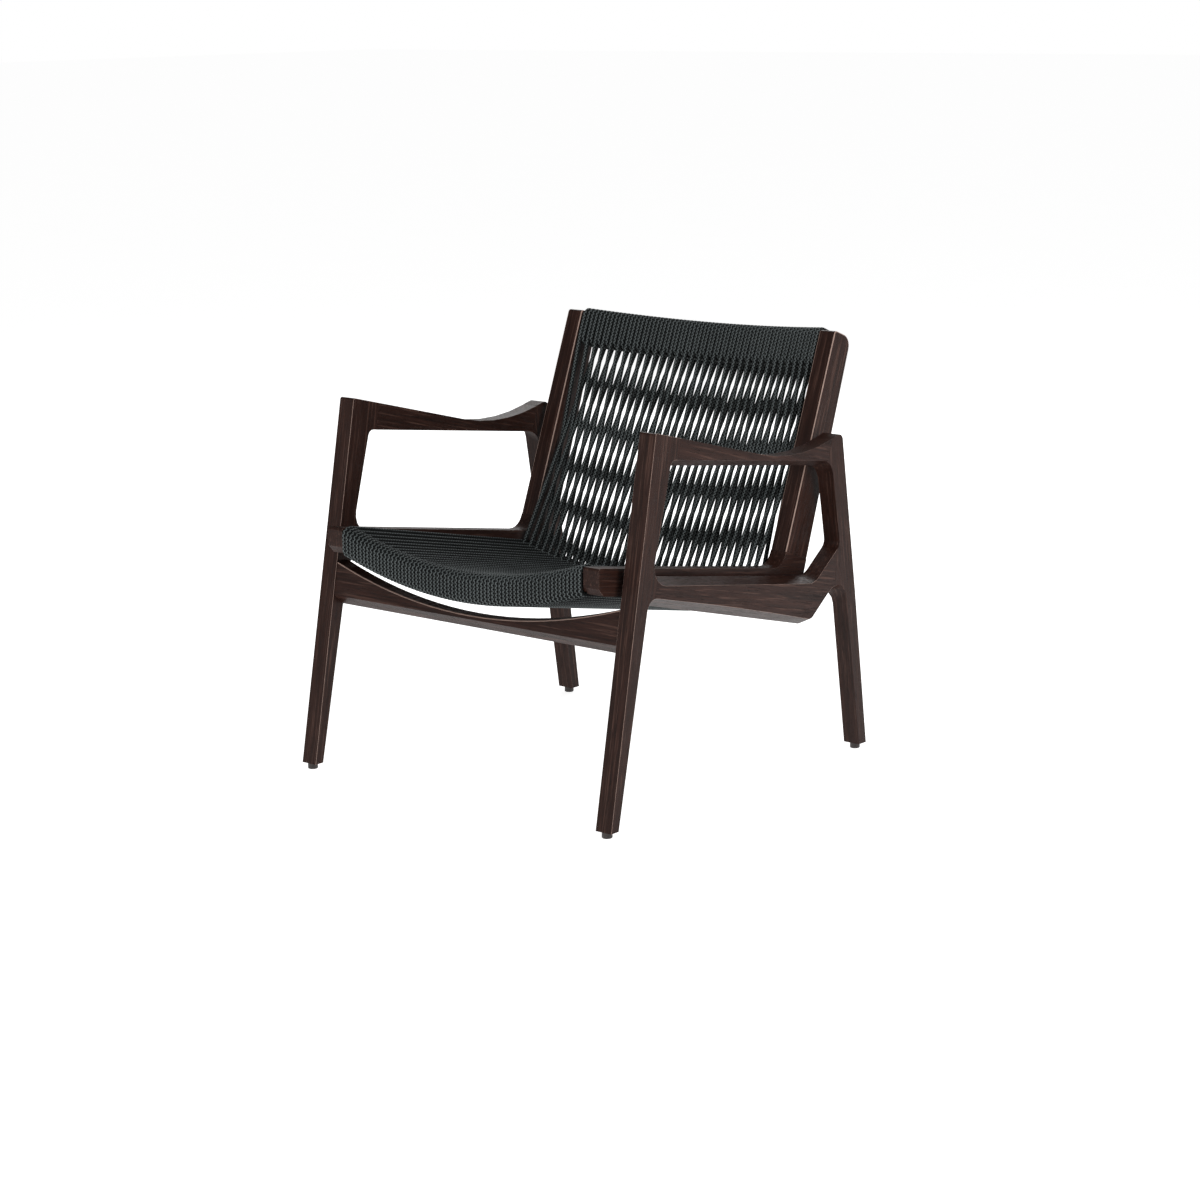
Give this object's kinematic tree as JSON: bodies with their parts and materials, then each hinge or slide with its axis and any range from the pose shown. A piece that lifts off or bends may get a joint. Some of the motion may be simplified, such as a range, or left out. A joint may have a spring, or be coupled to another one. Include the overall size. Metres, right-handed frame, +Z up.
{
  "type": "armchair",
  "caption": "Low wooden lounge armchair with planar side frames and a seat and back wound from braided cord over bowed bars.",
  "frame": {"origin": "middle of the object's box, on the floor under the glides", "axes": "+Z up, the sitter faces -Y, the sitter's left is +X"},
  "size_m": [0.681, 0.7266, 0.7222],
  "materials": {
    "stained_wood": "dark brown stain on open-grained hardwood, satin lacquer",
    "joint_wood": "plain hardwood, unfinished",
    "cord": "braided cord, dark green-grey, matt",
    "steel": "zinc-plated",
    "brass": "plain",
    "glide_plastic": "moulded, dark brown"
  },
  "bodies": {
    "root": {"left_front_leg": "stained_wood", "left_armrest": "stained_wood", "left_rear_leg": "stained_wood", "left_side_rail": "stained_wood", "left_seat_side": "stained_wood", "left_back_upright": "stained_wood", "left_arm_front_tenon": "joint_wood", "left_rail_front_tenon": "joint_wood", "left_arm_rear_tenon": "joint_wood", "left_rail_rear_tenon": "joint_wood", "left_front_rail_tenon": "joint_wood", "left_rear_rail_tenon": "joint_wood", "left_upright_tenon": "joint_wood", "left_front_bolt": "steel", "left_front_spacer": "steel", "left_front_insert": "brass", "left_front_glide": "glide_plastic", "left_rear_bolt": "steel", "left_rear_spacer": "steel", "left_rear_insert": "brass", "left_rear_glide": "glide_plastic", "right_front_leg": "stained_wood", "right_armrest": "stained_wood", "right_rear_leg": "stained_wood", "right_side_rail": "stained_wood", "right_seat_side": "stained_wood", "right_back_upright": "stained_wood", "right_arm_front_tenon": "joint_wood", "right_rail_front_tenon": "joint_wood", "right_arm_rear_tenon": "joint_wood", "right_rail_rear_tenon": "joint_wood", "right_front_rail_tenon": "joint_wood", "right_rear_rail_tenon": "joint_wood", "right_upright_tenon": "joint_wood", "right_front_bolt": "steel", "right_front_spacer": "steel", "right_front_insert": "brass", "right_front_glide": "glide_plastic", "right_rear_bolt": "steel", "right_rear_spacer": "steel", "right_rear_insert": "brass", "right_rear_glide": "glide_plastic", "front_rail": "stained_wood", "rear_rail": "stained_wood", "front_bar": "stained_wood", "junction_bar": "stained_wood", "top_bar": "stained_wood", "front_winding": "cord", "junction_winding": "cord", "top_winding": "cord", "seat_cords_upper": "cord", "seat_cords_lower": "cord", "back_cords": "cord"}
  },
  "joints": []
}
